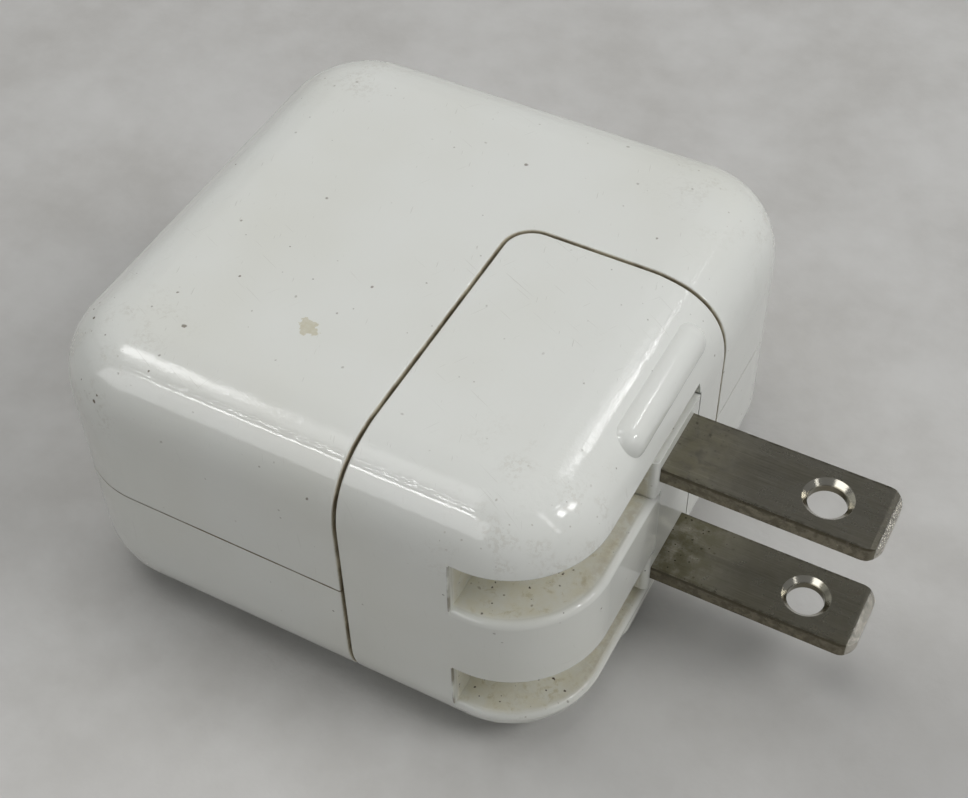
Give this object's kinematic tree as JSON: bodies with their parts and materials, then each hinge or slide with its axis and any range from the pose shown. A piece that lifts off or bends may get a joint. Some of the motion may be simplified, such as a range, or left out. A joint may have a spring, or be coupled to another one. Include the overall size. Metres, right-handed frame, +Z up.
{
  "type": "plug-in usb power adapter",
  "caption": "Square white plug-in USB power adapter with a slide-off corner plug head whose flat blades fold into slots round its corner.",
  "frame": {"origin": "centre of the body's square bottom face", "axes": "+Z up through the body's thickness, +X along the open blades, +Y away from the side that the slots open on"},
  "size_m": [0.0643, 0.047, 0.0284],
  "materials": {
    "casing": "glossy white, lightly scuffed and specked",
    "plug_head": "glossy white, grimy in its slots",
    "plug_head_inner": "satin white",
    "hub": "glossy white with grime along its edges",
    "blade_plating": "nickel plating, brushed lengthwise and tarnished",
    "inlet_plastic": "satin white",
    "pin_plating": "nickel plating",
    "lead_insulation": "white wire insulation",
    "stud_steel": "turned, plated",
    "spring_steel": "satin spring steel",
    "usb_steel": "plated sheet steel",
    "usb_plastic": "satin white",
    "contact_plating": "gold flash",
    "board": "green solder resist",
    "black_plastic": "moulded black",
    "sheet": "translucent amber film",
    "capacitor_sleeve": "dark shrink sleeve",
    "capacitor_sleeve_green": "green shrink sleeve",
    "ferrite": "fired ferrite",
    "winding_tape": "yellow polyester tape",
    "copper_wire": "enamelled copper",
    "fuse_body": "ceramic tube",
    "disc_capacitor": "dipped blue resin",
    "spreader_aluminium": "mill finish",
    "contact_brass": "stamped brass"
  },
  "bodies": {
    "brick": {"upper_shell": "casing", "lower_shell": "casing", "inlet_block": "inlet_plastic", "inlet_pins": "pin_plating", "mains_lead_upper": "lead_insulation", "mains_lead_lower": "lead_insulation", "retaining_stud": "stud_steel", "usb_shell": "usb_steel", "usb_tongue": "usb_plastic", "usb_contacts": "contact_plating", "main_board": "board", "output_board": "board", "board_header": "black_plastic", "insulation_sheet": "sheet", "bulk_capacitors": "capacitor_sleeve", "output_capacitors": "capacitor_sleeve_green", "transformer_core": "ferrite", "choke_core": "ferrite", "transformer_bobbin": "black_plastic", "transformer_winding": "winding_tape", "choke_windings": "copper_wire", "fuse": "fuse_body", "bridge_rectifier": "black_plastic", "switching_transistor": "black_plastic", "y_capacitor": "disc_capacitor", "heat_spreader": "spreader_aluminium"},
    "plug_head": {"plug_head_shell": "plug_head", "plug_head_cover": "plug_head_inner", "socket_contact_upper": "contact_brass", "socket_contact_lower": "contact_brass", "contact_spring_upper": "contact_brass", "contact_spring_lower": "contact_brass", "detent_spring": "spring_steel", "retaining_clip": "spring_steel"},
    "prongs": {"blade_hub": "hub", "blade_upper": "blade_plating", "blade_lower": "blade_plating"}
  },
  "joints": [
    {"name": "head_slide", "type": "slide", "parent": "brick", "child": "plug_head", "axis": [1, 0, 0], "range_m": [0, 0.02]},
    {"name": "blade_fold", "type": "hinge", "parent": "plug_head", "child": "prongs", "pos_m": [0.02, -0.0026, 0.0142], "axis": [0, 0, 1], "range_deg": [-90, 0]}
  ]
}
